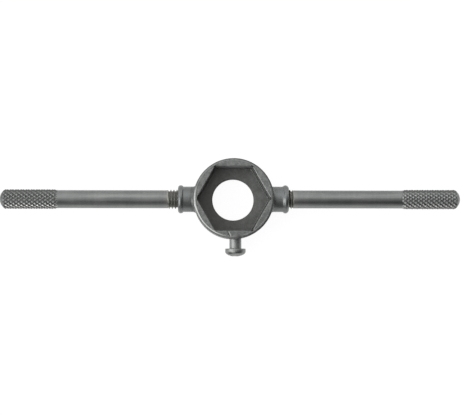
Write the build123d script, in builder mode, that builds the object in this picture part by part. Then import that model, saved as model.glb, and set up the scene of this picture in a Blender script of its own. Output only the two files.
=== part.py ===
from build123d import *
import math
import os

# A small die stock. The axis of its die pocket is Z, its back face lies on z = 0, the two
# handles lie along X, and the clamp screw comes in from -Y. All sizes are millimetres.

# Ring of the head casting
head_depth = 14.0
ring_diameter = 32.4
rim_edge = 0.6

# Pocket for a hexagon die, with its flats at the top and bottom
die_across_flats = 25.4
die_clearance = 0.15
pocket_depth = 10.0
pocket_draft_angle = 0.8
pocket_mouth_edge = 0.2

# Hole in the pocket's floor that the work passes through
work_hole_diameter = 17.0
work_hole_edge = 0.3

# Boss on each side, with a cast flare at its root and a bead at its mouth
boss_reach = 22.4
boss_diameter = 10.2
boss_root_flare = 0.6
boss_root_length = 1.2
bead_diameter = 11.35
bead_face_diameter = 10.4
bead_face_edge = 0.5
bead_crest_width = 0.9
left_bead_flare = 0.55
right_bead_flare = 1.2

# Blind socket for a handle's thread
socket_depth = 6.5
socket_mouth_edge = 0.3
handle_clearance = 0.05

# Handle: a turned rod, threaded at one end and knurled at the other
handle_length = 67.7
rod_length = 44.4
rod_diameter = 7.2
handle_thread_diameter = 7.85
handle_thread_length = 8.0
handle_thread_end_edge = 0.45
handle_shoulder_edge = 0.2
left_thread_shown = 4.4
right_thread_shown = 2.1

# Grip with a diamond knurl and a domed end
grip_diameter = 7.84
grip_lead_in = 0.9
dome_depth = 2.25
dome_tip_diameter = 0.8
knurl_starts = 14
knurl_axial_pitch = 2.11
knurl_depth = 0.45
knurl_trim = 0.05
knurl_turn = 1.6

# Clamp screw
screw_offset = 0.85
screw_thread_diameter = 4.9
screw_length = 6.2
screw_shown = 3.85
screw_tip_edge = 0.3
screw_clearance = 0.05
screw_head_diameter = 8.1
screw_head_side = 1.2
screw_head_crown = 1.95
screw_crown_edge_height = 0.85
screw_crown_edge_inset = 0.45
screw_head_end_diameter = 3.4
screw_head_edge = 0.3
recess_width = 1.1
recess_reach = 4.6
recess_depth = 1.7
recess_taper = 10.0
recess_turn = 27.0

# Values worked out from the sizes above
mid_height = head_depth / 2
ring_radius = ring_diameter / 2
floor_thickness = head_depth - pocket_depth
pocket_half_width = die_across_flats / 2 + die_clearance
boss_radius = boss_diameter / 2
rod_radius = rod_diameter / 2
handle_thread_radius = handle_thread_diameter / 2
socket_radius = handle_thread_radius + handle_clearance
left_shoulder = boss_reach + left_thread_shown
right_shoulder = boss_reach + right_thread_shown
grip_radius = grip_diameter / 2
knurl_row_step = knurl_axial_pitch / 2
knurl_rows = math.ceil((handle_length - rod_length) / knurl_row_step) + 1
screw_thread_radius = screw_thread_diameter / 2
screw_head_height = screw_head_side + screw_head_crown
screw_seat = ring_radius + screw_shown
match_tolerance = 0.01


def outward_plane(direction, distance):
    """Plane across the handles' axis that faces outwards, at a distance from the centre."""
    return Plane(origin=(direction * distance, 0, mid_height), z_dir=(direction, 0, 0))


def boss_section(direction, bead_flare):
    """Half section of one boss, from inside the ring's wall to the face of its bead."""
    bead_radius = bead_diameter / 2
    crest_end = boss_reach - bead_face_edge
    crest_start = crest_end - bead_crest_width
    root_radius = boss_radius + boss_root_flare
    root_start = math.sqrt(ring_radius**2 - root_radius**2)
    section_plane = Plane(origin=(0, 0, mid_height), x_dir=(direction, 0, 0), z_dir=(0, -direction, 0))
    with BuildSketch(section_plane) as section:
        with BuildLine():
            Polyline(
                (boss_reach, 0),
                (pocket_half_width, 0),
                (pocket_half_width, root_radius),
                (root_start, root_radius),
                (root_start + boss_root_length, boss_radius),
                (crest_start - bead_flare, boss_radius),
                (crest_start, bead_radius),
                (crest_end, bead_radius),
                (boss_reach, bead_face_diameter / 2),
                close=True,
            )
        make_face()
    return section.sketch


def knurl_point(column, row):
    """One point of the knurl's lattice: peaks and pits take turns round and along the grip."""
    radius = grip_radius if (column + row) % 2 == 0 else grip_radius - knurl_depth
    angle = math.pi * column / knurl_starts + math.radians(knurl_turn)
    return Vector(radius * math.cos(angle), radius * math.sin(angle), rod_length + row * knurl_row_step)


def knurled_bar():
    """Closed bar of four-sided points: each lattice cell is folded along its two pits."""
    columns = 2 * knurl_starts
    faces = []
    for row in range(knurl_rows):
        for column in range(columns):
            near = knurl_point(column, row)
            beside = knurl_point(column + 1, row)
            above = knurl_point(column, row + 1)
            across = knurl_point(column + 1, row + 1)
            if (column + row) % 2 == 0:
                triangles = ((near, beside, above), (across, above, beside))
            else:
                triangles = ((beside, across, near), (above, near, across))
            for corners in triangles:
                faces.append(Face(Wire.make_polygon(corners)))
    for row in (0, knurl_rows):
        faces.append(Face(Wire.make_polygon([knurl_point(column, row) for column in range(columns)])))
    return Solid(Shell(faces))


# Head casting: ring and bosses first, then the pocket and the holes
with BuildPart() as body:
    with BuildSketch(Plane.YZ) as ring_section:
        Rectangle(ring_radius, head_depth, align=(Align.MIN, Align.MIN))
        chamfer(ring_section.vertices().group_by(Axis.Y)[-1], rim_edge)
    revolve(axis=Axis.Z)
    for direction, bead_flare in ((-1, left_bead_flare), (1, right_bead_flare)):
        revolve(boss_section(direction, bead_flare), axis=Axis((0, 0, mid_height), (direction, 0, 0)))

    with BuildSketch(Plane.XY.offset(floor_thickness)):
        RegularPolygon(pocket_half_width, 6, major_radius=False)
    extrude(amount=pocket_depth, taper=-pocket_draft_angle, mode=Mode.SUBTRACT)
    mouth_outline = body.faces().sort_by(Axis.Z)[-1].inner_wires()[0].edges()
    chamfer(mouth_outline, pocket_mouth_edge)

    with BuildSketch():
        Circle(work_hole_diameter / 2)
    extrude(amount=head_depth, mode=Mode.SUBTRACT)
    hole_rims = body.edges().filter_by(GeomType.CIRCLE).filter_by(
        lambda edge: abs(edge.radius - work_hole_diameter / 2) < match_tolerance
    )
    chamfer(hole_rims, work_hole_edge)

    for direction in (-1, 1):
        with BuildSketch(outward_plane(direction, boss_reach)):
            Circle(socket_radius)
        extrude(amount=-socket_depth, mode=Mode.SUBTRACT)
    mouths = body.edges().filter_by(GeomType.CIRCLE).filter_by(
        lambda edge: abs(abs(edge.center().X) - boss_reach) < match_tolerance
        and abs(edge.radius - socket_radius) < match_tolerance
    )
    chamfer(mouths, socket_mouth_edge)

    with BuildSketch(Plane.XZ.offset(work_hole_diameter / 2)):
        with Locations((screw_offset, mid_height)):
            Circle(screw_thread_radius + screw_clearance)
    extrude(amount=ring_radius, mode=Mode.SUBTRACT)
body.part.label = "body"

# Handle in its own frame: the shoulder lies on z = 0, the grip is above and the thread below
knurl_points = knurled_bar()
with BuildPart() as grip:
    add(knurl_points)
    with BuildSketch(Plane.XZ):
        trim_radius = grip_radius + knurl_trim
        dome_start = handle_length - dome_depth
        tip_radius = dome_tip_diameter / 2
        dome_centre = dome_start - (trim_radius**2 - tip_radius**2 - dome_depth**2) / (2 * dome_depth)
        dome_radius = math.hypot(trim_radius, dome_start - dome_centre)
        with BuildLine():
            Polyline(
                (0, handle_length),
                (0, rod_length),
                (rod_radius, rod_length),
                (trim_radius, rod_length + grip_lead_in),
                (trim_radius, dome_start),
            )
            RadiusArc((trim_radius, dome_start), (tip_radius, handle_length), -dome_radius)
            Line((tip_radius, handle_length), (0, handle_length))
        make_face()
    revolve(axis=Axis.Z, mode=Mode.INTERSECT)

with BuildPart() as handle:
    add(grip.part)
    with BuildSketch(Plane.XZ):
        with BuildLine():
            Polyline(
                (0, rod_length),
                (0, -handle_thread_length),
                (handle_thread_radius - handle_thread_end_edge, -handle_thread_length),
                (handle_thread_radius, handle_thread_end_edge - handle_thread_length),
                (handle_thread_radius, -handle_shoulder_edge),
                (rod_radius, 0),
                (rod_radius, rod_length),
                close=True,
            )
        make_face()
    revolve(axis=Axis.Z)

with BuildPart() as left_handle:
    with Locations(outward_plane(-1, left_shoulder)):
        add(handle.part, clean=False)
left_handle.part.label = "left_handle"

with BuildPart() as right_handle:
    with Locations(outward_plane(1, right_shoulder)):
        add(handle.part, clean=False)
right_handle.part.label = "right_handle"

# Clamp screw, drawn on the plane of its head's seat with the shank going inwards
seat_plane = Plane(origin=(screw_offset, -screw_seat, mid_height), x_dir=(1, 0, 0), z_dir=(0, -1, 0))
with BuildPart() as clamp_screw:
    with BuildSketch(Plane(origin=seat_plane.origin, x_dir=(1, 0, 0), z_dir=(0, 0, 1))):
        head_radius = screw_head_diameter / 2
        with BuildLine():
            Polyline(
                (0, -screw_head_height),
                (0, screw_length),
                (screw_thread_radius - screw_tip_edge, screw_length),
                (screw_thread_radius, screw_length - screw_tip_edge),
                (screw_thread_radius, 0),
                (head_radius - screw_head_edge, 0),
                (head_radius, -screw_head_edge),
                (head_radius, -screw_head_side),
                (head_radius - screw_crown_edge_inset, -screw_head_side - screw_crown_edge_height),
                (screw_head_end_diameter / 2, -screw_head_height),
                close=True,
            )
        make_face()
    revolve(axis=Axis(seat_plane.origin, (0, 1, 0)))
    with BuildSketch(seat_plane.offset(screw_head_height)):
        with PolarLocations(0, 2, start_angle=recess_turn, angular_range=180):
            Rectangle(recess_reach, recess_width)
    extrude(amount=-recess_depth, taper=recess_taper, mode=Mode.SUBTRACT)
clamp_screw.part.label = "clamp_screw"

os.makedirs("parts", exist_ok=True)
export_step(body.part, "parts/body.step")
export_step(left_handle.part, "parts/left_handle.step")
export_step(right_handle.part, "parts/right_handle.step")
export_step(clamp_screw.part, "parts/clamp_screw.step")
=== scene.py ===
import math

import bpy
import numpy as np
from mathutils import Matrix, Vector


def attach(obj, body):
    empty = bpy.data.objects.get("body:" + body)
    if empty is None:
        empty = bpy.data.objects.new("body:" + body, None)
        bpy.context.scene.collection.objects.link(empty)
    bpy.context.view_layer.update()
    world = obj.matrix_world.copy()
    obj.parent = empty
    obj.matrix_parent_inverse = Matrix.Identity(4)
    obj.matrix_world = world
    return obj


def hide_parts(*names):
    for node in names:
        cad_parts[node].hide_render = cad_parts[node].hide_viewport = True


# A small die stock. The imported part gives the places: the axis of its die pocket is Z, the
# handles lie along X and the clamp screw comes in from -Y. Shapes are worked out in
# millimetres, and grid_solid turns them into metres. The front is +Z, bearings are degrees
# round Z from +X towards +Y, and t is the angle round the axis of the shape in hand. The
# camera looks from the front with +Y up, so "above" and "left" are said as it sees them.

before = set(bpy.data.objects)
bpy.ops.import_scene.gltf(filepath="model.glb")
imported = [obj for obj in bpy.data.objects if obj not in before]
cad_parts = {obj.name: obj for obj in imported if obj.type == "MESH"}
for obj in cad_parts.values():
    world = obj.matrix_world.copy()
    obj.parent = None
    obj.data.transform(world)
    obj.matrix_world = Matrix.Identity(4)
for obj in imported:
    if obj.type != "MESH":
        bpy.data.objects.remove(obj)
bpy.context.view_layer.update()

MM = 0.001
TURN = 2 * math.pi
QUARTER = math.pi / 2

# Angles of the rows that round an edge off
EDGE_ANGLES = np.linspace(0, QUARTER, 7)

# Ring of the head casting, with its pocket and work hole. The face lies a hair lower than
# the rim's crest, and SIDE_STEPS columns lie between a hexagon corner and a side's middle.
HEAD_DEPTH = 14.0
MID_HEIGHT = 7.0
FACE_HEIGHT = HEAD_DEPTH - 0.03
RING_RADIUS = 16.2
RIM_WIDTH = 1.05
RIM_HEIGHT = 0.62
RIM_WAVER = 0.012
BACK_EDGE = 0.25
POCKET_FLOOR = 4.0
POCKET_HALF_WIDTH = 12.85
POCKET_DRAFT = math.tan(math.radians(0.8))
POCKET_CORNER = 0.45
POCKET_ROOT = 0.5
MOUTH_EDGE = 0.2
MOUTH_WAVER = 0.006
WORK_HOLE_RADIUS = 8.5
HOLE_EDGE = 0.3
SIDE_STEPS = 32
NICK_CENTRE = (-1.85, -14.2)
NICK_HALF_SIZES = (1.25, 0.5, 0.25)
NICK_BEARING = -62
NICK_ACROSS = (0.88, 0.47)

# Fine groove inside the rim: how far in, how deep and how much painted shade each row has
RIM_GROOVE = ((0.06, 0, 0.3), (0.12, 0.06, 1), (0.2, 0.06, 1), (0.27, 0.01, 0.3), (0.34, 0, 0))

# Spans of bearing over which a mark on the ring rises and over which it falls again
# These spans place the ring's painted highlights and painted shade.
LIT_RIM = ((160, 178), (240, 264))
LOW_SIDE = ((225, 255), (325, 350))
TOP_WALL = ((56, 64), (116, 124))
UPPER_RIGHT = ((0, 6), (54, 60))
LOWER_RIGHT = ((298, 306), (352, 358))

# Bosses, whose roots start inside the ring's wall, and the sockets in them
BOSS_REACH = 22.4
BOSS_RADIUS = 5.18
ROOT_FLARE = 0.75
ROOT_LENGTH = 1.1
ROOT_SINK = 0.6
BEAD_RADIUS = 5.75
BEAD_FACE_RADIUS = 4.95
SOCKET_RADIUS = 3.975
SOCKET_END = 15.9
SOCKET_EDGE = 0.3
CUTTER_OVERSHOOT = 0.4

# Each side's bead: middle and radius of its bulge, slopes along it in degrees, and the foot
# that leads up to it from the neck, as (x, r) points
BEADS = {
    -1: (
        21.3, 1.2, (-57, -48, -38, -27, -16, -5, 6, 17, 28, 38, 47, 55, 61),
        [(20.0, 5.18), (20.2, 5.18), (20.25, 5.185)],
    ),
    1: (
        21.2, 1.25, (-44, -36, -28, -19, -10, 0, 10, 20, 29, 38, 46, 54, 62, 70),
        [(19.5, 5.18), (19.75, 5.19), (19.95, 5.215), (20.1, 5.26), (20.22, 5.33)],
    ),
}

# Handles. The thread fades out over a span that is measured from the shoulder.
ROD_LENGTH = 44.4
ROD_RADIUS = 3.67
THREAD_LENGTH = 8.0
THREAD_RADIUS = 3.925
THREAD_PITCH = 1.25
THREAD_DEPTH = 0.7
THREAD_END_RADIUS = 3.475
THREAD_FADE = (-0.6, -0.1)
GRIP_RADIUS = 3.98
DOME_DEPTH = 2.25
DOME_RING_RADIUS = 2.95
KNURL_STARTS = 14
KNURL_STEPS = 16
KNURL_PITCH = 2.11
KNURL_DEPTH = 0.45
KNURL_FLAT = 0.125
KNURL_TURN = 1.6
SHALLOW_GROOVE = 0.75

# Nub on the left handle's tip, as (distance beyond the dome's end, radius), and its end
NUB = ((-0.3, 0.5), (0, 0.48), (0.14, 0.42), (0.22, 0.28))
NUB_END = 0.24

# Each handle's side, name, shoulder's distance from the middle, length, place of a thread
# crest along X, and how much earlier its knurl starts on the front
HANDLES = (
    (-1, "left_handle", 26.8, 67.7, -25.38, 0.2),
    (1, "right_handle", 24.5, 68.1, 22.96, 0.85),
)

# Clamp screw. Its thread fades out over a span that is measured inwards from the seat.
SCREW_X = 0.85
SCREW_SEAT = -20.05
SCREW_LENGTH = 6.2
SCREW_RADIUS = 2.45
SCREW_NECK_RADIUS = 2.42
SCREW_TIP_RADIUS = 2.15
SCREW_PITCH = 0.8
SCREW_THREAD_DEPTH = 0.26
SCREW_CREST = 0.35
SCREW_THREAD_FADE = (3.6, 4.9)
SCREW_HEAD_RADIUS = 4.15
SCREW_HEAD_SIDE = 1.2
SCREW_CROWN = 1.95
SCREW_HOLE_RADIUS = 2.5
SCREW_HOLE_SPAN = (-10.5, -17.5)
RECESS_DEPTHS = np.array([-0.6, 0.0, 0.5, 1.0, 1.5, 1.9])
RECESS_END = 1.95
RECESS_TURN = 59

# Spots of painted shade on the front of the screw's head: strength, place along X and
# beyond the seat, and half of the width and height
HEAD_SPOTS = ((1.7, -1.35, 1.75, 0.75, 0.5), (0.7, 1.2, 1.45, 0.5, 0.4))

# Light levels of the sky at these heights of a direction's Y, on the left and on the right,
# and its lobe, in degrees above the floor, round from +X, and across
SKY_HEIGHTS = (-1.0, -0.9, -0.77, -0.62, -0.47, -0.32, -0.17, 0.0, 0.2, 0.45, 0.75, 1.0)
SKY_LEFT = (0.76, 0.5, 0.55, 0.55, 0.75, 1.0, 1.2, 1.25, 1.4, 1.6, 1.4, 0.95)
SKY_RIGHT = (0.72, 0.28, 0.08, 0.0, 0.0, 0.0, 0.05, 0.22, 0.5, 1.0, 1.3, 1.05)
LOBE_HEIGHT, LOBE_BEARING, LOBE_WIDTH, LOBE_LEVEL = 36, 205, 34, 2.3

# Floor, in metres: half of its width, and its distance under the head's back face
FLOOR_REACH = 4.0
FLOOR_GAP = 0.00002

# Camera: the point that it looks at in mm, its distance from there in metres, how many
# degrees it stands below and to the left of that point, and its sensor and lens in mm
CAMERA_TARGET = (-1.14, -3.32, 7.0)
CAMERA_DISTANCE = 0.4
CAMERA_BELOW, CAMERA_LEFT = 3.0, 1.3
CAMERA_SENSOR, CAMERA_LENS = 36.0, 76.8


# Surfaces as grids

def smooth_step(low, high, value):
    """0 up to low, 1 from high on, and 3t^2 - 2t^3 between. It falls where high is the less."""
    t = np.clip((value - low) / (high - low), 0, 1)
    return t * t * (3 - 2 * t)


def swell(value, middle, width):
    """Bell curve, 1 at the middle and 1/e at the width from it."""
    return np.exp(-(((value - middle) / width) ** 2))


def grid_faces(rows, columns, wrap_rows, split=None):
    """Four-sided faces of a grid whose columns close on themselves.

    Face (i, j) has the points (i, j), (i, j+1), (i+1, j+1), (i+1, j). Where split is given,
    each is cut in two, along (i, j+1)-(i+1, j) where split is true and along the other
    diagonal where it is false.
    """
    strips = np.arange(rows if wrap_rows else rows - 1)
    i, j = np.meshgrid(strips, np.arange(columns), indexing="ij")
    row, next_row = i * columns, (i + 1) % rows * columns
    next_column = (j + 1) % columns
    near, beside, above, across = row + j, row + next_column, next_row + j, next_row + next_column
    if split is None:
        return np.stack([near, beside, across, above], -1).reshape(-1, 4).tolist()
    first = np.stack([near, beside, np.where(split, above, across)], -1)
    second = np.stack([np.where(split, beside, near), across, above], -1)
    return np.concatenate([first.reshape(-1, 3), second.reshape(-1, 3)]).tolist()


def grid_solid(name, points, poles=None, split=None, marks=None):
    """Closed mesh object from a grid of points in millimetres, shape (rows, columns, 3).

    Columns close on themselves. With poles, the first and last row are closed to one point
    each, and without them the rows close on themselves too. Faces are turned outwards by
    the sign of the volume, the sum of a . (b x c) / 6 over the triangles. Marks are named
    numbers, one a point, that the materials read.
    """
    rows, columns = points.shape[:2]
    flat = points.reshape(-1, 3)
    faces = grid_faces(rows, columns, poles is None, split)
    if poles is not None:
        flat = np.concatenate([flat, np.array(poles, float)])
        j = np.arange(columns)
        last = (rows - 1) * columns
        first_pole, last_pole = (np.full(columns, rows * columns + k) for k in (0, 1))
        faces += np.stack([first_pole, (j + 1) % columns, j], -1).tolist()
        faces += np.stack([last_pole, last + j, last + (j + 1) % columns], -1).tolist()
    triangles = [face[:3] for face in faces]
    triangles += [[face[0], face[2], face[3]] for face in faces if len(face) == 4]
    a, b, c = flat[np.array(triangles).T]
    if np.einsum("ij,ij->i", a, np.cross(b, c)).sum() < 0:
        faces = [face[::-1] for face in faces]
    mesh = bpy.data.meshes.new(name)
    mesh.from_pydata((flat * MM).tolist(), [], faces)
    for mark, values in (marks or {}).items():
        values = np.broadcast_to(values, (rows, columns))
        at_poles = np.full(len(flat) - rows * columns, values[-1].mean())
        values = np.concatenate([values.reshape(-1), at_poles]).astype(np.float32)
        mesh.attributes.new(mark, "FLOAT", "POINT").data.foreach_set("value", values)
    mesh.validate()
    piece = bpy.data.objects.new(name, mesh)
    bpy.context.scene.collection.objects.link(piece)
    return piece


def dress(piece, material, sharp_angle):
    """Gives a piece its material, and smooth shading with a crease at each sharper angle."""
    piece.data.shade_smooth()
    piece.data.set_sharp_from_angle(angle=math.radians(sharp_angle))
    piece.data.materials.clear()
    piece.data.materials.append(material)


def carve(piece, others, operation):
    """Joins other closed pieces to this one or cuts them out of it, and removes them."""
    for other in others:
        step = piece.modifiers.new("carve", "BOOLEAN")
        step.operation = operation
        step.solver = "EXACT"
        step.object = other
    view = bpy.context.evaluated_depsgraph_get()
    finished = bpy.data.meshes.new_from_object(piece.evaluated_get(view))
    rough = piece.data
    piece.modifiers.clear()
    piece.data = finished
    bpy.data.meshes.remove(rough)
    for other in others:
        spare = other.data
        bpy.data.objects.remove(other)
        bpy.data.meshes.remove(spare)


def mark_points(piece, name, rule):
    """Gives each point of a finished piece a named number, worked out from its place in mm.

    Where the points have the number already, the greater one stays.
    """
    count = len(piece.data.vertices)
    places, values = np.empty(count * 3, np.float32), np.zeros(count, np.float32)
    piece.data.vertices.foreach_get("co", places)
    kept = piece.data.attributes.get(name) or piece.data.attributes.new(name, "FLOAT", "POINT")
    kept.data.foreach_get("value", values)
    values = np.maximum(values, rule(*(places.reshape(-1, 3) / MM).T))
    kept.data.foreach_set("value", values.astype(np.float32))


def around_x(x, radius, turn):
    """Points round the handles' axis: (x, r cos t, 7 + r sin t), t from +Y towards +Z."""
    y, z = radius * np.cos(turn), MID_HEIGHT + radius * np.sin(turn)
    return np.stack(np.broadcast_arrays(x, y, z), -1)


def around_y(y, radius, turn):
    """Points round the clamp screw's axis: (0.85 + r cos t, y, 7 + r sin t)."""
    x, z = SCREW_X + radius * np.cos(turn), MID_HEIGHT + radius * np.sin(turn)
    return np.stack(np.broadcast_arrays(x, y, z), -1)


def turned_grid(profile, columns, place):
    """A profile of (distance, radius) points carried round an axis. place gives the points."""
    turn = np.linspace(0, TURN, columns, endpoint=False)
    profile = np.array(profile, float)
    return place(profile[:, :1], profile[:, 1:], turn)


# Head casting

def arc(turn, rise, fall):
    """Share of a mark round the ring, between the spans of bearing where it rises and falls."""
    bearing = np.degrees(turn) % 360
    return smooth_step(*rise, bearing) * (1 - smooth_step(*fall, bearing))


def waver(turn):
    """Slow unevenness of a cast edge that handling has worn, from -2 to 2."""
    return np.sin(5 * turn + 1.0) + 0.6 * np.sin(13 * turn + 2.2) + 0.4 * np.sin(29 * turn + 0.4)


def floor_shade(turn):
    """Share of painted shade on the pocket's floor, which grows towards the left."""
    return np.minimum(0.78 - 0.26 * np.cos(turn - 0.2), 1.0)


def pocket_radius(turn, z, grow=0.0):
    """Distance from the axis to the pocket's hexagon at a height, with one corner on +X.

    With p the angle to the nearest corner, a flat gives w / cos(30 - p), and the corner's
    circle of radius c, centred at m = (w - c) / cos 30, gives m cos p + sqrt(c^2 - m^2 sin^2 p).
    """
    half_width = POCKET_HALF_WIDTH + (z - POCKET_FLOOR) * POCKET_DRAFT + grow
    p = np.abs((turn + math.pi / 6) % (math.pi / 3) - math.pi / 6)
    middle = (half_width - POCKET_CORNER) / math.cos(math.pi / 6)
    meets = math.atan2(POCKET_CORNER * 0.5, middle + POCKET_CORNER * math.cos(math.pi / 6))
    flat = half_width / np.cos(math.pi / 6 - p)
    inside = np.maximum(POCKET_CORNER**2 - (middle * np.sin(p)) ** 2, 0)
    return np.where(p > meets, flat, middle * np.cos(p) + np.sqrt(inside))


def rim_rows(turn):
    """Up the ring's outside and over its rim, a quarter ellipse.

    Its lower left has a band of painted highlight with a fine line of painted shade outside
    it. The band lies further out and is fainter at the left end. Elsewhere the rim's outer
    half has painted shade.
    """
    lit = arc(turn, *LIT_RIM)
    left_end = 1 - smooth_step(184, 204, np.degrees(turn) % 360)
    dim = 0.6 + 0.4 * arc(turn, (0, 15), (80, 110)) - 0.5 * arc(turn, (225, 240), (278, 292))
    dim = (dim + 0.3 * arc(turn, (282, 295), (310, 330))) * (1 - lit)
    for z in np.linspace(BACK_EDGE, HEAD_DEPTH - RIM_HEIGHT, 15):
        yield RING_RADIUS, z, {}
    for a in np.linspace(0, QUARTER, 13)[1:]:
        ridge = smooth_step(1.02 - 0.4 * left_end, 1.15 - 0.4 * left_end, a)
        ridge = ridge * (1 - 0.6 * left_end * smooth_step(1.2, 1.5, a))
        line = smooth_step(0.62, 0.78, a) * (1 - ridge) * (1 - left_end)
        dark = lit * line + dim * (1 - smooth_step(0.75, 1.2, a))
        radius = RING_RADIUS - RIM_WIDTH * (1 - np.cos(a)) + RIM_WAVER * waver(turn)
        z = HEAD_DEPTH - RIM_HEIGHT * (1 - np.sin(a))
        yield radius, z, {"painted_highlight": lit * ridge * (1 - 0.5 * left_end), "dark": dark}


def face_rows(turn):
    """In across the fine groove and the face, and over the rounded edge of the pocket's mouth."""
    lit, low_side = arc(turn, *LIT_RIM), arc(turn, *LOW_SIDE)
    upper_right, lower_right = arc(turn, *UPPER_RIGHT), arc(turn, *LOWER_RIGHT)
    outer = RING_RADIUS - RIM_WIDTH
    # The groove is slightly darkened all round, with painted shade on the rim's lit side
    for inwards, depth, share in RIM_GROOVE:
        radius = outer - inwards + RIM_WAVER * waver(turn)
        yield radius, FACE_HEIGHT - depth * lit, {"dark": np.maximum(share * lit, 0.1)}
    outer = outer - RIM_GROOVE[-1][0]
    inner = pocket_radius(turn, HEAD_DEPTH, MOUTH_EDGE)
    # The face is slightly darkened all over, with painted shade growing towards its lower side
    for share in (0.03, 0.2, 0.4, 0.6, 0.8, 0.98):
        dark = 0.06 + 0.32 * low_side * (1 - share)
        yield outer + (inner - outer) * share, FACE_HEIGHT, {"dark": dark}
    # The mouth's edge is a little paler all round, with a painted highlight at the upper and
    # lower right
    for a in EDGE_ANGLES:
        edge = pocket_radius(turn, HEAD_DEPTH, MOUTH_EDGE * (1 - np.sin(a)))
        painted_highlight = np.sin(a) * (0.04 + 0.9 * upper_right + 0.3 * lower_right)
        z = FACE_HEIGHT - MOUTH_EDGE * (1 - np.cos(a))
        yield edge + MOUTH_WAVER * waver(turn) * np.cos(a), z, {"painted_highlight": painted_highlight}


def pocket_rows(turn):
    """Down the pocket's wall, round its foot and in across its floor."""
    # Painted highlight on the top wall, painted shade round the foot, and on the floor painted
    # shade that grows towards the left
    top_wall, shade = arc(turn, *TOP_WALL), floor_shade(turn)
    foot_dark = 0.15 * (1 - top_wall) + 0.35 * arc(turn, *UPPER_RIGHT)
    for z in np.linspace(FACE_HEIGHT - MOUTH_EDGE - 0.1, POCKET_FLOOR + POCKET_ROOT, 10):
        yield pocket_radius(turn, z), z, {"pocket_floor": 0.05, "painted_highlight": 0.45 * top_wall}
    for a in EDGE_ANGLES[1:]:
        share = np.sin(a)
        radius = pocket_radius(turn, POCKET_FLOOR, -POCKET_ROOT * (1 - np.cos(a)))
        z = POCKET_FLOOR + POCKET_ROOT * (1 - share)
        yield radius, z, {"pocket_floor": shade * share, "dark": foot_dark}
    outer = pocket_radius(turn, POCKET_FLOOR, -POCKET_ROOT)
    inner = WORK_HOLE_RADIUS + HOLE_EDGE
    for share in (0.03, 0.25, 0.5, 0.75, 0.97):
        yield outer + (inner - outer) * share, POCKET_FLOOR, {"pocket_floor": shade}


def hole_rows(turn):
    """Over the work hole's edge, down its dark wall, out across the back and round its edge."""
    # The hole's edge and wall have painted shade.
    shade, outer = floor_shade(turn), WORK_HOLE_RADIUS + HOLE_EDGE
    for a in EDGE_ANGLES:
        z = POCKET_FLOOR - HOLE_EDGE * (1 - np.cos(a))
        dark = smooth_step(-0.3, 0.5, a) * shade
        yield outer - HOLE_EDGE * np.sin(a), z, {"pocket_floor": shade, "dark": dark}
    for z in (2.6, 2.0, 1.4):
        yield WORK_HOLE_RADIUS, z, {"dark": 1.0}
    for a in EDGE_ANGLES:
        yield WORK_HOLE_RADIUS + HOLE_EDGE * (1 - np.cos(a)), HOLE_EDGE * (1 - np.sin(a)), {}
    for share in (0.02, 0.25, 0.5, 0.75, 0.98):
        yield outer + (RING_RADIUS - BACK_EDGE - outer) * share, 0.0, {}
    for a in EDGE_ANGLES[:-1]:
        yield RING_RADIUS - BACK_EDGE * (1 - np.sin(a)), BACK_EDGE * (1 - np.cos(a)), {}


def ring_grid():
    """The ring's section carried round the axis, as rows of (r(t), z), and its marks.

    Columns crowd at the hexagon's corners: t = 30 (0.35 u + 0.65 u^3) degrees.
    """
    u = np.arange(-SIDE_STEPS, SIDE_STEPS) / SIDE_STEPS
    side = np.radians(30) * (0.35 * u + 0.65 * u**3)
    turn = np.concatenate([side + k * math.pi / 3 for k in range(6)])
    rows = [*rim_rows(turn), *face_rows(turn), *pocket_rows(turn), *hole_rows(turn)]
    radius, z = (np.array([row[k] + 0 * turn for row in rows]) for k in (0, 1))
    marks = {
        mark: [row[2].get(mark, 0.0) + 0 * turn for row in rows]
        for mark in ("pocket_floor", "painted_highlight", "dark")
    }
    return np.stack([radius * np.cos(turn), radius * np.sin(turn), z], -1), marks


def bead_profile(direction):
    """Half section of a boss from its neck to its face, as (x, r) points.

    Both beads are round bulges, r = c + sqrt(R^2 - (x - m)^2). The left one rises sharply
    from the neck, and the right one through a soft foot. One more point rounds off the
    corner between the bulge and the face.
    """
    middle, bulge, slopes, foot = BEADS[direction]
    lean = np.radians(slopes)
    x = middle + bulge * np.sin(lean)
    r = BEAD_RADIUS - bulge * (1 - np.cos(lean))
    corner = ((x[-1] + BOSS_REACH) / 2 + 0.01, (r[-1] + BEAD_FACE_RADIUS) / 2 + 0.03)
    face = [(BOSS_REACH, radius) for radius in (BEAD_FACE_RADIUS, 4.6, 3.0, 1.5)]
    return np.array(foot + list(zip(x, r)) + [corner] + face)


def boss_grid(direction):
    """One boss as a closed solid of revolution whose root flows into the ring's wall.

    The wall, seen along the boss, is w(r, t) = sqrt(R^2 - (r cos t)^2). The root runs for
    s = 0..90 degrees through r = rb + f (1 - sin s), x = w(r, t) + g (1 - cos s), and
    starts a hair inside the wall.
    """
    turn = np.linspace(0, TURN, 144, endpoint=False)

    def wall(radius):
        return np.sqrt(RING_RADIUS**2 - (radius * np.cos(turn)) ** 2)

    rows = [(wall(r) - ROOT_SINK, r) for r in (1.0, 2.5, 4.0, 5.0, BOSS_RADIUS + ROOT_FLARE)]
    for s in np.linspace(0, QUARTER, 11):
        r = BOSS_RADIUS + ROOT_FLARE * (1 - math.sin(s))
        rows.append((wall(r) + ROOT_LENGTH * (1 - math.cos(s)) - 0.03 * math.cos(s), r))
    neck = rows[-1][0]
    profile = bead_profile(direction)
    for share in (0.25, 0.5, 0.75):
        rows.append((neck + (profile[0, 0] - neck) * share, BOSS_RADIUS))
    rows.extend(profile)
    x, radius = (np.array([row[k] + 0 * turn for row in rows]) for k in (0, 1))
    ends = [(direction * end, 0, MID_HEIGHT) for end in (RING_RADIUS - ROOT_SINK, BOSS_REACH)]
    return around_x(direction * x, radius, turn), ends


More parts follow.
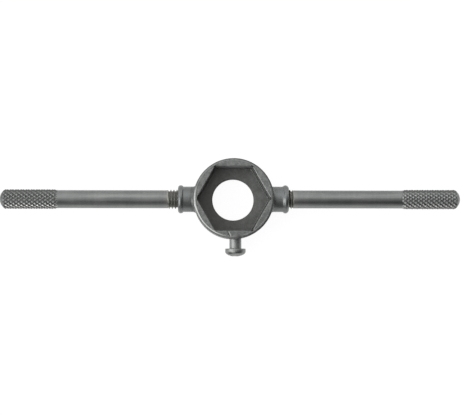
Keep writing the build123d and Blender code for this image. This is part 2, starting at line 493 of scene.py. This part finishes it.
def socket_cutter(side):
    """What leaves the blind socket for one handle, with a cone at its mouth."""
    outside = BOSS_REACH + CUTTER_OVERSHOOT
    bore = [
        (SOCKET_END, 1.5), (SOCKET_END, SOCKET_RADIUS), (BOSS_REACH - SOCKET_EDGE, SOCKET_RADIUS),
        (BOSS_REACH, SOCKET_RADIUS + SOCKET_EDGE),
        (outside, SOCKET_RADIUS + SOCKET_EDGE + CUTTER_OVERSHOOT), (outside, 1.5),
    ]
    points = turned_grid([(side * x, r) for x, r in bore], 144, around_x)
    ends = [(side * x, 0, MID_HEIGHT) for x in (SOCKET_END, outside)]
    return grid_solid(f"socket_{side}", points, ends)


def screw_hole_cutter():
    """What leaves the clamp screw's hole, from inside the pocket to outside the ring's wall."""
    points = turned_grid([(y, SCREW_HOLE_RADIUS) for y in SCREW_HOLE_SPAN], 96, around_y)
    return grid_solid("screw_hole", points, [(SCREW_X, y, MID_HEIGHT) for y in SCREW_HOLE_SPAN])


def nick_cutter():
    """Flattened drop that leaves the nick beside the screw.

    Its points are p = c + R (a sin v, b cos v cos t, d cos v sin t), v = -80..80 degrees.
    """
    v = np.radians(np.linspace(-80, 80, 17))[:, None]
    t = np.linspace(0, TURN, 24, endpoint=False)
    long, wide, deep = NICK_HALF_SIZES
    across, down = wide * np.cos(v) * np.cos(t), deep * np.cos(v) * np.sin(t)
    local = np.stack(np.broadcast_arrays(long * np.sin(v), across, down), -1)
    cos, sin = (rule(math.radians(NICK_BEARING)) for rule in (math.cos, math.sin))
    spin = np.array([[cos, -sin, 0], [sin, cos, 0], [0, 0, 1]])
    centre = np.array([*NICK_CENTRE, HEAD_DEPTH])
    ends = [spin @ np.array([side * long, 0, 0]) + centre for side in (-1, 1)]
    return grid_solid("nick", local @ spin.T + centre, ends)


def make_head():
    """Ring and bosses joined, then the sockets, the screw's hole and the nick cut out."""
    points, marks = ring_grid()
    head = grid_solid("head_casting", points, marks=marks)
    carve(head, [grid_solid(f"boss_{side}", *boss_grid(side)) for side in (-1, 1)], "UNION")
    carve(head, [socket_cutter(-1), socket_cutter(1), screw_hole_cutter()], "DIFFERENCE")
    carve(head, [nick_cutter()], "DIFFERENCE")
    mark_head(head)
    return head


def mark_head(head):
    """Marks on the bosses, beside the screw and in the nick.

    The bosses' roots and the rim beside the screw have painted shade. The nick's lower left
    half has painted shade and the rest of it a painted highlight. A painted dark reflection
    runs along each neck's lower front, t = 125 degrees.
    """

    def beyond(x, y, low, high):
        return smooth_step(low, high, np.hypot(x, y) - RING_RADIUS)

    def in_nick(x, y, z):
        right, up = x - NICK_CENTRE[0], y - NICK_CENTRE[1]
        inside = smooth_step(0.04, 0.1, HEAD_DEPTH - z) * (z > HEAD_DEPTH - 0.5)
        across = right * NICK_ACROSS[0] + up * NICK_ACROSS[1]
        return across, (np.hypot(right, up) < 1.4) * inside

    # Painted shade at the bosses' roots, on the rim beside the screw and in the nick's lower left
    def darker(x, y, z):
        across, inside = in_nick(x, y, z)
        root = np.where(x < 0, 0.55, 0.25) * beyond(x, y, 0.0, 0.3) * (1 - beyond(x, y, 1.2, 2.0))
        on_rim = beyond(x, y, -1.8, -1.1) * (y < 0) * (z > HEAD_DEPTH - 1)
        in_shade = 0.6 * inside * smooth_step(0.1, -0.1, across)
        return np.maximum(np.maximum(root, 0.8 * swell(x, 2.0, 1.3) * on_rim), in_shade)

    # Painted dark reflection along each neck's lower front
    def painted_neck_reflection(x, y, z):
        leaning = np.degrees(np.arctan2(z - MID_HEIGHT, y))
        share = np.where(x < 0, 0.5, 0.8) * swell(leaning, 125, 13)
        return share * beyond(x, y, 0.6, 1.4) * (np.abs(x) < BOSS_REACH - 2.4)

    # Painted highlight in the nick's upper right half
    def paler(x, y, z):
        across, inside = in_nick(x, y, z)
        return 0.22 * inside * smooth_step(0.0, 0.15, across)

    mark_points(head, "turned", lambda x, y, z: beyond(x, y, 0.1, 1.0))
    mark_points(head, "dark", darker)
    mark_points(head, "dark", painted_neck_reflection)
    mark_points(head, "painted_highlight", paler)


# Handles

def thread_radius(x, turn, crest, pitch, top, depth):
    """Radius of a right-hand thread with flat crests, 60 degree flanks and rounded roots.

    With w the distance from the nearest crest in pitches, w = |q - round(q)| and
    q = (x - crest) / pitch - t / 360, the depth grows from w = 1/16 with the flank's slope
    and levels off towards the root as tanh does.
    """
    flat_half, bend = 0.0625, 1.25
    q = (x - crest) / pitch - turn / TURN
    w = np.abs(q - np.round(q))
    flank = np.maximum((w - flat_half) * pitch * math.sqrt(3), 0)
    deepest = (0.5 - flat_half) * pitch * math.sqrt(3)
    return top - depth * np.tanh(flank / depth * bend) / math.tanh(bend * deepest / depth)


def handle_solid(name, side, shoulder, length, thread_crest, early):
    """One handle: thread, plain rod, diamond knurl and domed end, r(s, t) on one grid.

    s runs outwards from the shoulder, and t = 90 degrees is the front. The knurl is two
    families of V grooves, with a = 14 t / 360 + s / p and b = 14 t / 360 - s / p: its depth
    at a point is max(|a - round a|, |b - round b|), twice over, less the tips' small flats.
    The family that leans down to the right on the front is cut deeper than the other. The
    dome is a ball's cap, r = sqrt(rho^2 - (s - m)^2), with a fine ring cut round it, and
    the smaller of the two holds. The knurl starts earlier by early mm on its front side.
    The left handle has a nub on its tip.
    """
    turn = np.linspace(0, TURN, KNURL_STARTS * KNURL_STEPS, endpoint=False)
    step, lead_rows = KNURL_PITCH / KNURL_STEPS, 8
    dome_start = length - DOME_DEPTH
    dome_edge = GRIP_RADIUS + 0.05
    dome_middle = dome_start - (dome_edge**2 - DOME_DEPTH**2) / (2 * DOME_DEPTH)
    dome_radius = length - dome_middle
    thread_rows = np.linspace(-THREAD_LENGTH, 0, 103)
    rod_rows = np.linspace(0, ROD_LENGTH - (lead_rows + 0.5) * step, 26)[1:]
    grip_rows = np.arange(ROD_LENGTH - lead_rows * step, dome_start, step)
    dome_angles = np.linspace(math.asin(dome_edge / dome_radius), 0.02, 26)
    dome_rows = dome_middle + dome_radius * np.cos(dome_angles)
    s = np.concatenate([thread_rows, rod_rows, grip_rows, dome_rows])[:, None]
    x = side * (shoulder + s)

    cut = thread_radius(x, turn, thread_crest, THREAD_PITCH, THREAD_RADIUS, THREAD_DEPTH)
    fade = 1 - smooth_step(*THREAD_FADE, s)
    end = np.minimum(THREAD_END_RADIUS + (s + THREAD_LENGTH), THREAD_RADIUS)
    threaded = np.minimum(ROD_RADIUS + (cut - ROD_RADIUS) * fade, end)

    around = KNURL_STARTS * turn / TURN - side * KNURL_STARTS * KNURL_TURN / 360
    along = (s - ROD_LENGTH) / KNURL_PITCH
    a, b = around + along, around - along
    off_a, off_b = np.abs(a - np.round(a)), np.abs(b - np.round(b))
    if side > 0:
        off_a = SHALLOW_GROOVE * off_a
    else:
        off_b = SHALLOW_GROOVE * off_b
    groove = np.clip((2 * np.maximum(off_a, off_b) - KNURL_FLAT) / (1 - KNURL_FLAT), 0, 1)
    start = ROD_LENGTH - early * swell(turn, QUARTER, 0.6)
    rise = smooth_step(start - 0.05, start + 1.3, s)
    peak = ROD_RADIUS + (GRIP_RADIUS - ROD_RADIUS) * rise
    knurled = peak - KNURL_DEPTH * groove * (0.25 + 0.75 * rise)
    dome = np.sqrt(np.maximum(dome_radius**2 - np.maximum(s - dome_middle, 0) ** 2, 1e-6))
    dome = dome - 0.05 * swell(dome, DOME_RING_RADIUS, 0.12)

    radius = np.where(s < start, ROD_RADIUS, np.minimum(knurled, dome))
    radius = np.where(s < 0, threaded, radius)
    tip = np.where(s < start, 1.0, 1 - groove)
    tip = np.where(s < 0, (radius - THREAD_RADIUS + THREAD_DEPTH) / THREAD_DEPTH, tip)
    tip = np.where((s >= dome_start) & (knurled >= dome), 1.0, tip)

    middle_a = (off_a[:-1] + off_a[1:]) / 2
    middle_b = (off_b[:-1] + off_b[1:]) / 2
    split = middle_a + np.roll(middle_a, -1, 1) > middle_b + np.roll(middle_b, -1, 1)
    ends = [(side * (shoulder + d), 0, MID_HEIGHT) for d in (-THREAD_LENGTH, length)]
    marks = handle_marks(side, s, turn, tip, dome_start)
    handle = grid_solid(name, around_x(x, radius, turn), ends, split, marks)
    if side < 0:
        profile = [(side * (shoulder + (length + beyond)), r) for beyond, r in NUB]
        points = turned_grid(profile, 32, around_x)
        nub_ends = (length + NUB[0][0], length + NUB_END)
        ends = [(side * (shoulder + d), 0, MID_HEIGHT) for d in nub_ends]
        carve(handle, [grid_solid("nub", points, ends)], "UNION")
    return handle


def handle_marks(side, s, turn, tip, dome_start):
    """What the handles' material reads, by distance along and by angle from the upper side.

    The grips have painted shade along their upper side, the left one further down the front,
    and painted glints on their peaks below the front.
    """
    lean = np.abs((turn + math.pi) % TURN - math.pi)
    grip = smooth_step(ROD_LENGTH - 0.5, ROD_LENGTH + 0.5, s)
    # Painted shade further down the front, strong on the left grip and faint on the right
    painted_front_shade = (0.6 if side < 0 else 0.1) * (1 - smooth_step(1.3, 2.0, lean))
    peaks = (s < dome_start) * np.maximum(tip, 0)
    return {
        "tip": tip, "thread": smooth_step(0.15, -0.15, s), "grip": grip,
        "painted_grip_shade": grip * np.maximum(1 - smooth_step(0.6, 0.95, lean), painted_front_shade),
        "painted_glint": grip * peaks * swell(lean, 2.5, 0.2),
    }


# Clamp screw

def make_screw():
    """Thread and rounded head on one grid, r(y, t), with a tapered cross recess cut in.

    The head's crown is a quarter ellipse, r = 4.15 cos v, and 1.95 sin v beyond its side.
    The thread fades out inside the hole, and what shows under the head is a plain neck.
    """
    turn = np.linspace(0, TURN, 112, endpoint=False)
    tip = SCREW_SEAT + SCREW_LENGTH
    shank_y = np.linspace(tip, SCREW_SEAT + 0.01, 112)[:, None]
    cut = thread_radius(
        -shank_y, turn, SCREW_CREST, SCREW_PITCH, SCREW_RADIUS, SCREW_THREAD_DEPTH
    )
    fade = smooth_step(*SCREW_THREAD_FADE, shank_y - SCREW_SEAT)
    shank = SCREW_NECK_RADIUS + (cut - SCREW_NECK_RADIUS) * fade
    shank = np.minimum(shank, SCREW_TIP_RADIUS + (tip - shank_y))
    head = [(0.0, 3.0), (0.0, 3.95), (0.03, 4.05), (0.1, 4.12)]
    head += [(height, SCREW_HEAD_RADIUS) for height in (0.2, 0.45, 0.7, 0.95, 1.1)]
    for v in np.radians(np.linspace(0, 86, 25)):
        height = SCREW_HEAD_SIDE + SCREW_CROWN * math.sin(v)
        head.append((height, SCREW_HEAD_RADIUS * math.cos(v)))
    head = np.array(head)
    y = np.concatenate([shank_y, SCREW_SEAT - head[:, :1]]) + 0 * turn
    radius = np.concatenate([shank, head[:, 1:] + 0 * turn])
    end = SCREW_SEAT - SCREW_HEAD_SIDE - SCREW_CROWN
    ends = [(SCREW_X, tip, MID_HEIGHT), (SCREW_X, end, MID_HEIGHT)]
    screw = grid_solid("clamp_screw_m5", around_y(y, radius, turn), ends)
    carve(screw, [recess_cutter(end)], "DIFFERENCE")
    mark_screw(screw)
    return screw


def recess_cutter(end):
    """Cross with four arms that narrows towards its bottom, from outside the head's end."""
    half = 0.62 - 0.12 * RECESS_DEPTHS
    reach = 2.45 - 0.3 * RECESS_DEPTHS
    corners = [np.stack(pair, -1) for pair in ((reach, -half), (reach, half), (half, half))]
    arms = []
    for k in range(4):
        angle = math.radians(RECESS_TURN + 90 * k)
        cos, sin = math.cos(angle), math.sin(angle)
        arms.append(np.stack(corners, 1) @ np.array([[cos, sin], [-sin, cos]]))
    cross = np.concatenate(arms, 1)
    y = end + RECESS_DEPTHS[:, None] + 0 * cross[..., 0]
    points = np.stack([SCREW_X + cross[..., 0], y, MID_HEIGHT + cross[..., 1]], -1)
    ends = [(SCREW_X, end + depth, MID_HEIGHT) for depth in (RECESS_DEPTHS[0], RECESS_END)]
    return grid_solid("recess", points, ends)


def mark_screw(screw):
    """Painted shade inside the recess, and two spots of painted shade on the front of the head's
    side.
    """

    def inside_crown(x, y, z):
        height = np.clip((SCREW_SEAT - SCREW_HEAD_SIDE - y) / SCREW_CROWN, 0, 1)
        surface = SCREW_HEAD_RADIUS * np.sqrt(1 - height**2)
        depth = surface - np.hypot(x - SCREW_X, z - MID_HEIGHT)
        return smooth_step(0.03, 0.15, depth) * (y < SCREW_SEAT - SCREW_HEAD_SIDE + 0.1)

    def front_spots(x, y, z):
        tones = [
            strength * swell(x, across, wide) * swell(y, SCREW_SEAT - out, high)
            for strength, across, out, wide, high in HEAD_SPOTS
        ]
        return np.clip(np.maximum(*tones), 0, 1) * (z > MID_HEIGHT)

    mark_points(screw, "recess", inside_crown)
    mark_points(screw, "recess", front_spots)


# Shader building

def put(tree, kind, inputs=None, **settings):
    """Adds a node. An input given as a socket is linked, and any other value is set."""
    node = tree.nodes.new(kind)
    for key, value in settings.items():
        setattr(node, key, value)
    for key, value in (inputs or {}).items():
        if isinstance(value, bpy.types.NodeSocket):
            tree.links.new(value, node.inputs[key])
        else:
            node.inputs[key].default_value = value
    return node


def group(name, inputs, outputs):
    """Empty shader node group with named inputs, as (type, value), and named number outputs."""
    tree = bpy.data.node_groups.new(name, "ShaderNodeTree")
    for key, (kind, value) in inputs.items():
        socket = tree.interface.new_socket(key, in_out="INPUT", socket_type="NodeSocket" + kind)
        if value is not None:
            socket.default_value = value
    for key in outputs:
        tree.interface.new_socket(key, in_out="OUTPUT", socket_type="NodeSocketFloat")
    return tree, put(tree, "NodeGroupInput").outputs, put(tree, "NodeGroupOutput").inputs


def use(tree, shared, **inputs):
    """Places a shared group in a material. Its values are named with spaces as underscores."""
    named = {key.replace("_", " "): value for key, value in inputs.items()}
    return put(tree, "ShaderNodeGroup", named, node_tree=shared).outputs


def maths(tree, operation, first, second):
    """A maths node's result."""
    return put(tree, "ShaderNodeMath", {0: first, 1: second}, operation=operation).outputs[0]


def vector_maths(tree, operation, first, second, result="Vector"):
    """A vector maths node's result."""
    node = put(tree, "ShaderNodeVectorMath", {0: first, 1: second}, operation=operation)
    return node.outputs[result]


def add_share(tree, value, mark, share):
    """The value plus a share of a mark."""
    return maths(tree, "ADD", value, maths(tree, "MULTIPLY", mark, share))


def blend_values(tree, first, second, share):
    """Two values mixed, with a fixed share of the second."""
    return add_share(tree, maths(tree, "MULTIPLY", first, 1 - share), second, share)


def spread(tree, value, low, high, to_low=0.0, to_high=1.0):
    """Maps low..high smoothly to to_low..to_high."""
    inputs = {
        "Value": value, "From Min": low, "From Max": high, "To Min": to_low, "To Max": to_high,
    }
    return put(tree, "ShaderNodeMapRange", inputs, interpolation_type="SMOOTHSTEP").outputs[0]


def blend_colours(tree, factor, first, second):
    """A mix of two colours. The mix node's inputs 6 and 7 and output 2 are its colours."""
    inputs = {0: factor, 6: first, 7: second}
    return put(tree, "ShaderNodeMix", inputs, data_type="RGBA").outputs[2]


def two_tone(tree, tone, dark, pale):
    """Colour between two, by a tone from 0 to 1."""
    return blend_colours(tree, tone, (*dark, 1), (*pale, 1))


def coat(tree, colour, *layers):
    """Covers a colour with layers, each given as a mark, its greatest share and a colour."""
    for mark, share, cover in layers:
        colour = blend_colours(tree, maths(tree, "MULTIPLY", mark, share), colour, (*cover, 1))
    return colour


def noise(tree, vector, scale, detail=3.0, roughness=0.55):
    """Noise from 0 to 1 round about 0.5."""
    inputs = {"Vector": vector, "Scale": scale, "Detail": detail, "Roughness": roughness}
    return put(tree, "ShaderNodeTexNoise", inputs).outputs[0]


def worn_edges_group():
    """Mask of the outer edges that handling has worn bright, broken up by noise."""
    inputs = {"Vector": ("Vector", None), "Width": ("Float", 0.0003), "Break Up": ("Float", 0.5)}
    tree, given, result = group("worn_edges", inputs, ["Edge"])
    rounded = put(tree, "ShaderNodeBevel", {"Radius": given["Width"]}, samples=6).outputs[0]
    normal = put(tree, "ShaderNodeNewGeometry").outputs["Normal"]
    bend = spread(tree, vector_maths(tree, "DOT_PRODUCT", rounded, normal, "Value"), 0.995, 0.86)
    patchy = noise(tree, given["Vector"], 900.0)
    kept = spread(tree, add_share(tree, patchy, given["Break Up"], -0.3), 0.2, 0.5)
    tree.links.new(maths(tree, "MULTIPLY", bend, kept), result["Edge"])
    return tree


def mottle_group():
    """Slow and quick patches of tone, from 0 to 1, such as handling and oil leave on steel."""
    inputs = {
        "Vector": ("Vector", None),
        "Patch Scale": ("Float", 220.0), "Speck Scale": ("Float", 1500.0),
    }
    tree, given, result = group("handling_mottle", inputs, ["Tone"])
    patch = noise(tree, given["Vector"], given["Patch Scale"], 4.0, 0.6)
    speck = noise(tree, given["Vector"], given["Speck Scale"], 2.0, 0.6)
    tone = spread(tree, blend_values(tree, patch, speck, 0.35), 0.34, 0.66)
    tree.links.new(tone, result["Tone"])
    return tree


def crevice_group():
    """Mask of the dirt that stays in corners, grooves and pits."""
    inputs = {"Vector": ("Vector", None), "Reach": ("Float", 0.0012)}
    tree, given, result = group("crevice_dirt", inputs, ["Dirt"])
    distance = {"Distance": given["Reach"]}
    open_share = put(tree, "ShaderNodeAmbientOcclusion", distance, samples=8).outputs["AO"]
    ragged = spread(tree, noise(tree, given["Vector"], 700.0), 0.25, 0.6, 0.6, 1.0)
    closed = spread(tree, open_share, 0.8, 0.3)
    tree.links.new(maths(tree, "MULTIPLY", closed, ragged), result["Dirt"])
    return tree


def turning_group():
    """Fine lines that a lathe leaves, round the X axis of the vector that it is given.

    Height is noise of (x k, y k/60, z k/60), so it changes quickly along the axis only.
    """
    inputs = {"Vector": ("Vector", None), "Lines": ("Float", 9000.0)}
    tree, given, result = group("turning_lines", inputs, ["Height", "Tone"])
    stretched = vector_maths(tree, "MULTIPLY", given["Vector"], (1.0, 0.016, 0.016))
    fine = noise(tree, stretched, given["Lines"], 2.0, 0.7)
    coarse = noise(tree, stretched, maths(tree, "MULTIPLY", given["Lines"], 0.12), 2.0)
    height = blend_values(tree, fine, coarse, 0.4)
    tree.links.new(height, result["Height"])
    tree.links.new(spread(tree, height, 0.35, 0.65), result["Tone"])
    return tree


def new_material(name, metallic, marks):
    """Material with its tree, its Principled shader, its object coordinates and the marks."""
    material = bpy.data.materials.new(name)
    material.use_nodes = True
    tree = material.node_tree
    shader = next(node for node in tree.nodes if node.type == "BSDF_PRINCIPLED")
    shader.inputs["Metallic"].default_value = metallic
    place = put(tree, "ShaderNodeTexCoord").outputs["Object"]
    values = [
        put(tree, "ShaderNodeAttribute", attribute_name=mark).outputs["Fac"] for mark in marks
    ]
    return material, tree, shader, place, values


def finish_shader(tree, shader, colour, roughness, height, strength, distance):
    """Links colour, roughness and a bump to the shader."""
    tree.links.new(colour, shader.inputs["Base Color"])
    tree.links.new(roughness, shader.inputs["Roughness"])
    inputs = {"Height": height, "Strength": strength, "Distance": distance}
    bump = put(tree, "ShaderNodeBump", inputs)
    tree.links.new(bump.outputs["Normal"], shader.inputs["Normal"])


def cast_material(shared):
    """Satin grey casting: mottled skin, small pits, worn edges and dirt in the corners, with
    painted shade and painted highlights from its marks.
    """
    material, tree, shader, place, (floor, painted_highlight, dark, turned) = new_material(
        "cast_metal_satin", 0.75, ("pocket_floor", "painted_highlight", "dark", "turned")
    )
    mottle = use(
        tree, shared["mottle"], Vector=place, Patch_Scale=420.0, Speck_Scale=2200.0
    )["Tone"]
    edge = use(tree, shared["edges"], Vector=place, Width=0.00035, Break_Up=0.6)["Edge"]
    dirt = use(tree, shared["crevice"], Vector=place, Reach=0.0015)["Dirt"]
    pit = spread(tree, noise(tree, place, 1500.0, 4.0, 0.7), 0.52, 0.66)
    pit = maths(tree, "MULTIPLY", pit, add_share(tree, 1.0, turned, -0.85))
    skin = two_tone(tree, mottle, (0.145, 0.153, 0.148), (0.262, 0.269, 0.262))
    # Darker colour into which the pocket floor's painted shade blends the skin
    deep = two_tone(tree, mottle, (0.068, 0.069, 0.061), (0.089, 0.091, 0.086))
    skin = coat(
        tree, blend_colours(tree, floor, skin, deep),
        (turned, 0.8, (0.158, 0.168, 0.168)),
        (pit, 0.6, (0.085, 0.09, 0.085)),
        (edge, 0.3, (0.5, 0.5, 0.48)),
        (dirt, 0.5, (0.05, 0.05, 0.045)),
        # Painted shade, then painted highlights, from the ring's and bosses' marks
        (dark, 0.8, (0.045, 0.047, 0.045)),
        (painted_highlight, 0.8, (0.62, 0.63, 0.62)),
    )
    tree.links.new(add_share(tree, 0.75, floor, -0.5), shader.inputs["Metallic"])
    rough = add_share(tree, 0.34, mottle, 0.1)
    rough = add_share(tree, rough, maths(tree, "MAXIMUM", dirt, dark), 0.15)
    rough = add_share(tree, rough, turned, -0.21)
    lumps = noise(tree, place, 700.0)
    grain = noise(tree, place, 3800.0, 2.0, 0.5)
    height = add_share(tree, blend_values(tree, lumps, grain, 0.25), pit, -0.25)
    finish_shader(tree, shader, skin, rough, height, 0.5, 0.00012)
    return material


def handle_material(shared):
    """Bright-drawn steel: lathe lines, patches from handling, dark knurl grooves, painted shade
    along the grips' upper side and painted glints on their peaks.
    """
    material, tree, shader, place, (tip, thread, grip, painted_grip_shade, painted_glint) = new_material(
        "handle_steel_turned", 1.0, ("tip", "thread", "grip", "painted_grip_shade", "painted_glint")
    )
    mottle = use(
        tree, shared["mottle"], Vector=place, Patch_Scale=160.0, Speck_Scale=1800.0
    )["Tone"]
    lines = use(tree, shared["turning"], Vector=place, Lines=5200.0)
    dirt = use(tree, shared["crevice"], Vector=place, Reach=0.0008)["Dirt"]
    drawn = vector_maths(tree, "MULTIPLY", place, (0.06, 1.0, 1.0))
    streak = spread(tree, noise(tree, drawn, 1100.0, 3.0, 0.6), 0.32, 0.68)
    tone = blend_values(tree, mottle, streak, 0.55)
    low = spread(tree, tip, 0.55, 0.05)
    steel = coat(
        tree, two_tone(tree, tone, (0.16, 0.169, 0.167), (0.24, 0.246, 0.24)),
        (lines["Tone"], 0.2, (0.3, 0.305, 0.295)),
        (thread, 0.6, (0.36, 0.35, 0.32)),
        (low, 0.5, (0.1, 0.1, 0.092)),
        (dirt, 0.5, (0.06, 0.058, 0.05)),
        # Painted shade along the grips' upper side, and painted glints on their peaks below the
        # front
        (painted_grip_shade, 0.6, (0.05, 0.052, 0.048)),
        (painted_glint, 0.95, (0.85, 0.85, 0.83)),
    )
    rough = add_share(tree, 0.17, mottle, 0.06)
    rough = add_share(tree, rough, low, 0.15)
    rough = add_share(tree, rough, maths(tree, "MAXIMUM", thread, grip), 0.14)
    finish_shader(tree, shader, steel, rough, lines["Height"], 0.3, 0.00002)
    return material


def screw_material(shared):
    """Brighter plated steel with lathe lines round the screw's own axis."""
    material, tree, shader, place, (recess,) = new_material(
        "screw_steel_plated", 1.0, ("recess",)
    )
    rotated = {"Vector": place, "Rotation": (0, 0, QUARTER)}
    along = put(tree, "ShaderNodeMapping", rotated).outputs["Vector"]
    mottle = use(
        tree, shared["mottle"], Vector=place, Patch_Scale=500.0, Speck_Scale=2500.0
    )["Tone"]
    lines = use(tree, shared["turning"], Vector=along, Lines=4000.0)
    edge = use(tree, shared["edges"], Vector=place, Width=0.0002, Break_Up=0.3)["Edge"]
    dirt = use(tree, shared["crevice"], Vector=place, Reach=0.0008)["Dirt"]
    steel = coat(
        tree, two_tone(tree, mottle, (0.22, 0.23, 0.224), (0.31, 0.318, 0.31)),
        (edge, 0.5, (0.5, 0.5, 0.48)),
        (dirt, 0.25, (0.07, 0.068, 0.06)),
        # Painted shade inside the recess and in two spots on the head's front
        (recess, 0.78, (0.04, 0.04, 0.036)),
    )
    rough = add_share(tree, 0.33, mottle, 0.12)
    finish_shader(tree, shader, steel, rough, lines["Height"], 0.3, 0.00003)
    return material


def floor_material():
    """Floor with a faint soft shadow, white to the camera and greyer in reflections.

    Reflections see its upper half darker than its lower half.
    """
    material = bpy.data.materials.new("pale_floor")
    material.use_nodes = True
    tree = material.node_tree
    tree.nodes.clear()
    rays = put(tree, "ShaderNodeLightPath").outputs
    mirrored = maths(tree, "MAXIMUM", rays["Is Glossy Ray"], rays["Is Transmission Ray"])
    place = put(tree, "ShaderNodeTexCoord").outputs["Object"]
    upwards = put(tree, "ShaderNodeSeparateXYZ", {0: place}).outputs["Y"]
    reflected = maths(tree, "MULTIPLY", mirrored, spread(tree, upwards, -0.004, 0.004, 0.7, 0.3))
    direct = maths(tree, "MULTIPLY", rays["Is Camera Ray"], 0.9)
    seen = maths(tree, "MAXIMUM", direct, reflected)
    matt = put(tree, "ShaderNodeBsdfDiffuse", {"Color": (0.9, 0.9, 0.9, 1)}).outputs[0]
    white = put(tree, "ShaderNodeEmission", {"Color": (1, 1, 1, 1), "Strength": 1.05}).outputs[0]
    mixed = put(tree, "ShaderNodeMixShader", {0: seen, 1: matt, 2: white})
    put(tree, "ShaderNodeOutputMaterial", {"Surface": mixed.outputs[0]})
    return material


# Studio

def level_ramp(tree, height, levels):
    """Grey ramp through the levels at SKY_HEIGHTS. A height h stands at (h + 1) / 2 in it."""
    inputs = {0: height, 1: 0.5, 2: 0.5}
    position = put(tree, "ShaderNodeMath", inputs, operation="MULTIPLY_ADD").outputs[0]
    ramp = put(tree, "ShaderNodeValToRGB", {0: position})
    elements = ramp.color_ramp.elements
    elements.remove(elements[1])
    for k, (stop_height, level) in enumerate(zip(SKY_HEIGHTS, levels)):
        stop = elements[0] if k == 0 else elements.new(0.5 + stop_height / 2)
        stop.position, stop.color = 0.5 + stop_height / 2, (level, level, level, 1)
    return ramp.outputs["Color"]


def soft_sky():
    """Soft light all round, brightest above the object and dark below it on the right.

    Its level is a ramp over the direction's Y for each side, mixed by a smooth step over its
    X, and a soft lobe that stands low on the left.
    """
    world = bpy.data.worlds.new("soft_sky")
    world.use_nodes = True
    tree = world.node_tree
    tree.nodes.clear()
    direction = put(tree, "ShaderNodeTexCoord").outputs["Generated"]
    axes = put(tree, "ShaderNodeSeparateXYZ", {0: direction}).outputs
    left, right = (level_ramp(tree, axes["Y"], levels) for levels in (SKY_LEFT, SKY_RIGHT))
    level = blend_colours(tree, spread(tree, axes["X"], -0.8, 0.8), left, right)
    height, bearing = math.radians(LOBE_HEIGHT), math.radians(LOBE_BEARING)
    flat = math.cos(height)
    aim = (flat * math.cos(bearing), flat * math.sin(bearing), math.sin(height))
    near = vector_maths(tree, "DOT_PRODUCT", direction, aim, "Value")
    lobe = spread(tree, near, math.cos(math.radians(LOBE_WIDTH)), 1.0, 0.0, LOBE_LEVEL)
    strength = maths(tree, "ADD", level, lobe)
    sky = put(tree, "ShaderNodeBackground", {"Color": (1, 1, 1, 1), "Strength": strength})
    put(tree, "ShaderNodeOutputWorld", {"Surface": sky.outputs[0]})
    bpy.context.scene.world = world


def lay_floor():
    """Large flat floor just under the head's back face."""
    mesh = bpy.data.meshes.new("floor")
    corners = [
        (x * FLOOR_REACH, y * FLOOR_REACH, -FLOOR_GAP)
        for x, y in ((-1, -1), (1, -1), (1, 1), (-1, 1))
    ]
    mesh.from_pydata(corners, [], [(0, 1, 2, 3)])
    floor = bpy.data.objects.new("floor", mesh)
    floor.data.materials.append(floor_material())
    bpy.context.scene.collection.objects.link(floor)


def set_camera():
    """Camera in front of the pocket, a little below its axis and to the left of it."""
    target = Vector(CAMERA_TARGET) * MM
    below, left = math.radians(CAMERA_BELOW), math.radians(CAMERA_LEFT)
    away = Vector((-math.tan(left), -math.tan(below), 1.0)).normalized()
    right = Vector((0, 1, 0)).cross(away).normalized()
    camera = bpy.data.cameras.new("camera")
    camera.sensor_width, camera.lens = CAMERA_SENSOR, CAMERA_LENS
    camera.clip_start, camera.clip_end = 0.01, 20.0
    holder = bpy.data.objects.new("camera", camera)
    axes = Matrix((right, away.cross(right), away)).transposed()
    place = Matrix.Translation(target + away * CAMERA_DISTANCE)
    holder.matrix_world = place @ axes.to_4x4()
    bpy.context.scene.collection.objects.link(holder)
    bpy.context.scene.camera = holder


set_camera()
shared_groups = {
    "edges": worn_edges_group(), "mottle": mottle_group(),
    "crevice": crevice_group(), "turning": turning_group(),
}

head = make_head()
dress(head, cast_material(shared_groups), sharp_angle=32)
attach(head, "head")
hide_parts("body")

steel = handle_material(shared_groups)
for side, name, shoulder, length, crest, early in HANDLES:
    handle = handle_solid(name + "_turned", side, shoulder, length, crest, early)
    dress(handle, steel, sharp_angle=24)
    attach(handle, name)
    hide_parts(name)

screw = make_screw()
dress(screw, screw_material(shared_groups), sharp_angle=32)
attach(screw, "clamp_screw")
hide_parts("clamp_screw")

lay_floor()
soft_sky()
bpy.context.scene.view_settings.view_transform = "Standard"
